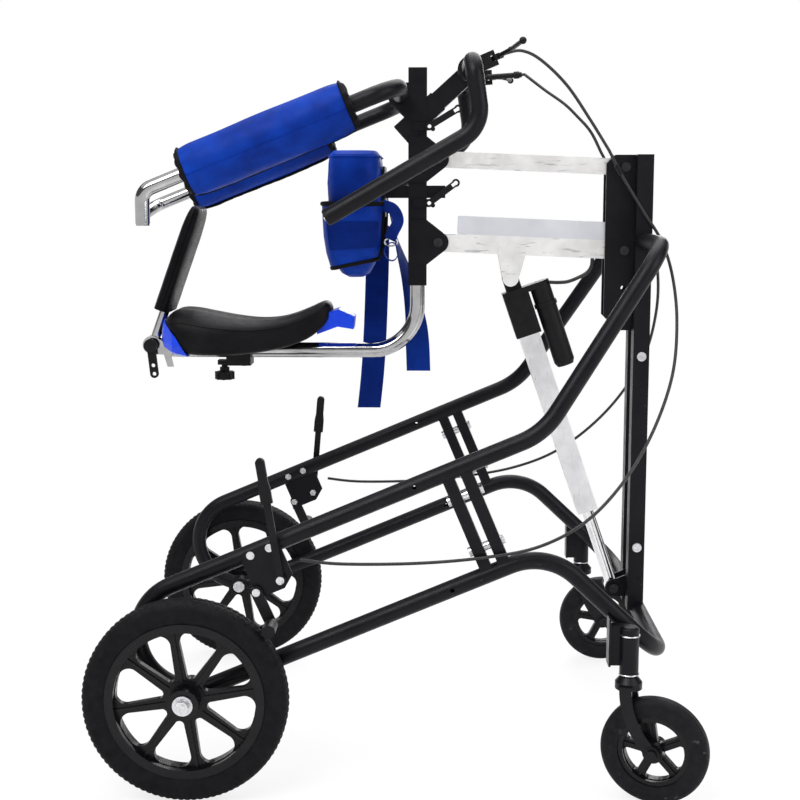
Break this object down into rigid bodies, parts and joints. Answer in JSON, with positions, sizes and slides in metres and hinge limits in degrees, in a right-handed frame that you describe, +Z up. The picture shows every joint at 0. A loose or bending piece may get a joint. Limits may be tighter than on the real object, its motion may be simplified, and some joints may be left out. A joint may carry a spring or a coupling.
{
  "type": "gait trainer",
  "caption": "Wheeled gait trainer with a saddle, back rest, chest pad, arm pads and handlebar on a powered parallel-arm lift.",
  "frame": {"origin": "on the floor under the middle of the part's bounding box", "axes": "+X forwards, towards the mast and casters; +Y to the walker's left; +Z up"},
  "size_m": [0.9267, 0.748, 1.1174],
  "materials": {
    "powder_black": "satin black powder coat with a faint bluish sheen",
    "rubber_black": "matte black tyre rubber with a block tread",
    "rubber_grey": "dark grey caster rubber",
    "wheel_plastic": "moulded black nylon",
    "aluminium": "bare extrusion with scuffs",
    "tray_metal": "smooth bare channel",
    "chrome": "bright chrome with fine scratches",
    "zinc": "zinc-plated fasteners",
    "black_plastic": "black moulded plastic",
    "cable_black": "black cable jacket",
    "blue_fabric": "royal blue coated cloth over foam, black piping",
    "blue_web": "royal blue webbing",
    "saddle_black": "black synthetic leather",
    "pad_black": "black synthetic leather",
    "blue_plastic": "bright blue moulded plastic"
  },
  "bodies": {
    "frame": {"right_rear_loop": "powder_black", "left_rear_loop": "powder_black", "upper_front_tubes": "powder_black", "lower_front_tube": "powder_black", "joint_bars": "powder_black", "mast": "powder_black", "lift_pins": "zinc", "caster_housings": "powder_black", "rear_axles": "zinc", "brake_brackets": "powder_black", "frame_bolts": "zinc", "brake_cables": "cable_black"},
    "right_wheel": {"right_wheel": "wheel_plastic", "right_tyre": "rubber_black"},
    "left_wheel": {"left_wheel": "wheel_plastic", "left_tyre": "rubber_black"},
    "right_caster": {"right_caster_fork": "powder_black"},
    "right_caster_wheel": {"right_caster_wheel": "wheel_plastic", "right_caster_tyre": "rubber_grey"},
    "left_caster": {"left_caster_fork": "powder_black"},
    "left_caster_wheel": {"left_caster_wheel": "wheel_plastic", "left_caster_tyre": "rubber_grey"},
    "right_brake_lever": {"right_brake_lever": "powder_black"},
    "left_brake_lever": {"left_brake_lever": "powder_black"},
    "right_brake_shoe": {"right_brake_shoe": "powder_black"},
    "left_brake_shoe": {"left_brake_shoe": "powder_black"},
    "upper_arm": {"upper_arm": "aluminium"},
    "lower_arm": {"lower_arm": "aluminium", "cable_tray": "tray_metal"},
    "actuator": {"actuator_head": "black_plastic", "actuator_barrel": "aluminium", "actuator_motor": "black_plastic", "actuator_lead": "cable_black"},
    "actuator_rod": {"actuator_rod": "aluminium"},
    "carriage": {"upright": "powder_black", "carriage_pins": "zinc", "seat_tube": "chrome", "armrest_tube": "powder_black"},
    "handlebar": {"handlebar": "powder_black", "lever_bodies": "black_plastic", "hand_cables": "cable_black"},
    "right_hand_lever": {"right_hand_lever": "black_plastic"},
    "left_hand_lever": {"left_hand_lever": "black_plastic"},
    "upper_cam_lever": {"upper_cam_lever": "black_plastic"},
    "lower_cam_lever": {"lower_cam_lever": "black_plastic"},
    "right_arm": {"right_arm_extension": "chrome", "right_arm_pad": "blue_fabric"},
    "left_arm": {"left_arm_extension": "chrome", "left_arm_pad": "blue_fabric"},
    "chest": {"chest_bar": "powder_black", "chest_pad": "blue_fabric", "chest_belt": "blue_fabric", "chest_straps": "blue_web"},
    "saddle": {"saddle": "saddle_black", "saddle_trim": "blue_plastic", "seat_clamp": "black_plastic"},
    "seat_knob": {"seat_knob": "black_plastic"},
    "backrest": {"back_post": "chrome", "back_pad": "pad_black"},
    "back_lever": {"back_lever": "black_plastic"}
  },
  "joints": [
    {"name": "right_wheel_spin", "type": "hinge", "parent": "frame", "child": "right_wheel", "pos_m": [-0.3105, -0.3325, 0.1525], "axis": [0, 1, 0], "continuous": true},
    {"name": "left_wheel_spin", "type": "hinge", "parent": "frame", "child": "left_wheel", "pos_m": [-0.3105, 0.3325, 0.1525], "axis": [0, 1, 0], "continuous": true},
    {"name": "right_caster_swivel", "type": "hinge", "parent": "frame", "child": "right_caster", "pos_m": [0.342, -0.32, 0.19], "axis": [0, 0, 1], "continuous": true},
    {"name": "right_caster_spin", "type": "hinge", "parent": "right_caster", "child": "right_caster_wheel", "pos_m": [0.38053, -0.33402, 0.08], "axis": [0.342, 0.9397, 0], "continuous": true},
    {"name": "left_caster_swivel", "type": "hinge", "parent": "frame", "child": "left_caster", "pos_m": [0.342, 0.32, 0.19], "axis": [0, 0, 1], "continuous": true},
    {"name": "left_caster_spin", "type": "hinge", "parent": "left_caster", "child": "left_caster_wheel", "pos_m": [0.383, 0.32, 0.08], "axis": [0, 1, 0], "continuous": true},
    {"name": "right_brake", "type": "hinge", "parent": "frame", "child": "right_brake_lever", "pos_m": [-0.17058, -0.31255, 0.32824], "axis": [0, 1, 0], "range_deg": [-20, 20]},
    {"name": "right_brake_swing", "type": "hinge", "parent": "frame", "child": "right_brake_shoe", "pos_m": [-0.20629, -0.31255, 0.30998], "axis": [0, 1, 0], "range_deg": [-4, 4]},
    {"name": "left_brake", "type": "hinge", "parent": "frame", "child": "left_brake_lever", "pos_m": [-0.17058, 0.31255, 0.32824], "axis": [0, 1, 0], "range_deg": [-20, 20]},
    {"name": "left_brake_swing", "type": "hinge", "parent": "frame", "child": "left_brake_shoe", "pos_m": [-0.20629, 0.31255, 0.30998], "axis": [0, 1, 0], "range_deg": [-4, 4]},
    {"name": "lift", "type": "hinge", "parent": "frame", "child": "upper_arm", "pos_m": [0.3635, 0, 0.9325], "axis": [0, 1, 0], "range_deg": [-20, 30]},
    {"name": "lower_arm_swing", "type": "hinge", "parent": "frame", "child": "lower_arm", "pos_m": [0.3635, 0, 0.799], "axis": [0, 1, 0], "range_deg": [-20, 30]},
    {"name": "carriage_level", "type": "hinge", "parent": "upper_arm", "child": "carriage", "pos_m": [0.06196, 0, 0.94514], "axis": [0, 1, 0], "range_deg": [-30, 20]},
    {"name": "actuator_swing", "type": "hinge", "parent": "lower_arm", "child": "actuator", "pos_m": [0.1805, 0, 0.753], "axis": [0, 1, 0], "range_deg": [-29, 19.5], "deforming": ["actuator_lead"]},
    {"name": "actuator_stroke", "type": "slide", "parent": "actuator", "child": "actuator_rod", "axis": [0.325, 0, -0.9457], "range_m": [-0.066, 0.098]},
    {"name": "handlebar_reach", "type": "slide", "parent": "carriage", "child": "handlebar", "axis": [0.7431, 0, 0.6691], "range_m": [-0.02, 0.04]},
    {"name": "right_squeeze", "type": "hinge", "parent": "handlebar", "child": "right_hand_lever", "pos_m": [0.15015, -0.1, 1.09785], "axis": [-0.3907, 0, 0.9205], "range_deg": [-18, 0], "stiffness_Nm_per_rad": 1.5},
    {"name": "left_squeeze", "type": "hinge", "parent": "handlebar", "child": "left_hand_lever", "pos_m": [0.15362, 0.1, 1.0834], "axis": [-0.0698, 0, 0.9976], "range_deg": [0, 18], "stiffness_Nm_per_rad": 1.5},
    {"name": "upper_cam_turn", "type": "hinge", "parent": "carriage", "child": "upper_cam_lever", "pos_m": [0.04747, -0.0215, 0.997], "axis": [0, 1, 0], "range_deg": [-60, 0]},
    {"name": "lower_cam_turn", "type": "hinge", "parent": "carriage", "child": "lower_cam_lever", "pos_m": [0.04747, -0.0215, 0.875], "axis": [0, 1, 0], "range_deg": [-55, 0]},
    {"name": "right_arm_reach", "type": "slide", "parent": "carriage", "child": "right_arm", "axis": [-0.9278, 0, -0.373], "range_m": [0, 0.09]},
    {"name": "left_arm_reach", "type": "slide", "parent": "carriage", "child": "left_arm", "axis": [-0.9278, 0, -0.373], "range_m": [-0.066, 0.022]},
    {"name": "chest_reach", "type": "slide", "parent": "carriage", "child": "chest", "axis": [1, 0, 0], "range_m": [-0.025, 0.012]},
    {"name": "saddle_reach", "type": "slide", "parent": "carriage", "child": "saddle", "axis": [1, 0, 0], "range_m": [0, 0.04]},
    {"name": "seat_knob_turn", "type": "hinge", "parent": "saddle", "child": "seat_knob", "pos_m": [-0.29153, 0, 0.6], "axis": [0, 0, 1], "range_deg": [-180, 180]},
    {"name": "backrest_tilt", "type": "hinge", "parent": "carriage", "child": "backrest", "pos_m": [-0.40953, 0, 0.643], "axis": [0, 1, 0], "range_deg": [-40, 0]},
    {"name": "back_lever_turn", "type": "hinge", "parent": "carriage", "child": "back_lever", "pos_m": [-0.40953, -0.022, 0.643], "axis": [0, 1, 0], "range_deg": [-60, 0]}
  ],
  "couplings": [
    {"joint": "right_brake_swing", "follows": "right_brake", "ratio": 0.2},
    {"joint": "left_brake_swing", "follows": "left_brake", "ratio": 0.2},
    {"joint": "lower_arm_swing", "follows": "lift", "ratio": 1},
    {"joint": "carriage_level", "follows": "lift", "ratio": -1},
    {"joint": "actuator_swing", "follows": "lift", "ratio": -0.9397},
    {"joint": "actuator_stroke", "follows": "lift", "m_per_rad": 0.18224}
  ]
}
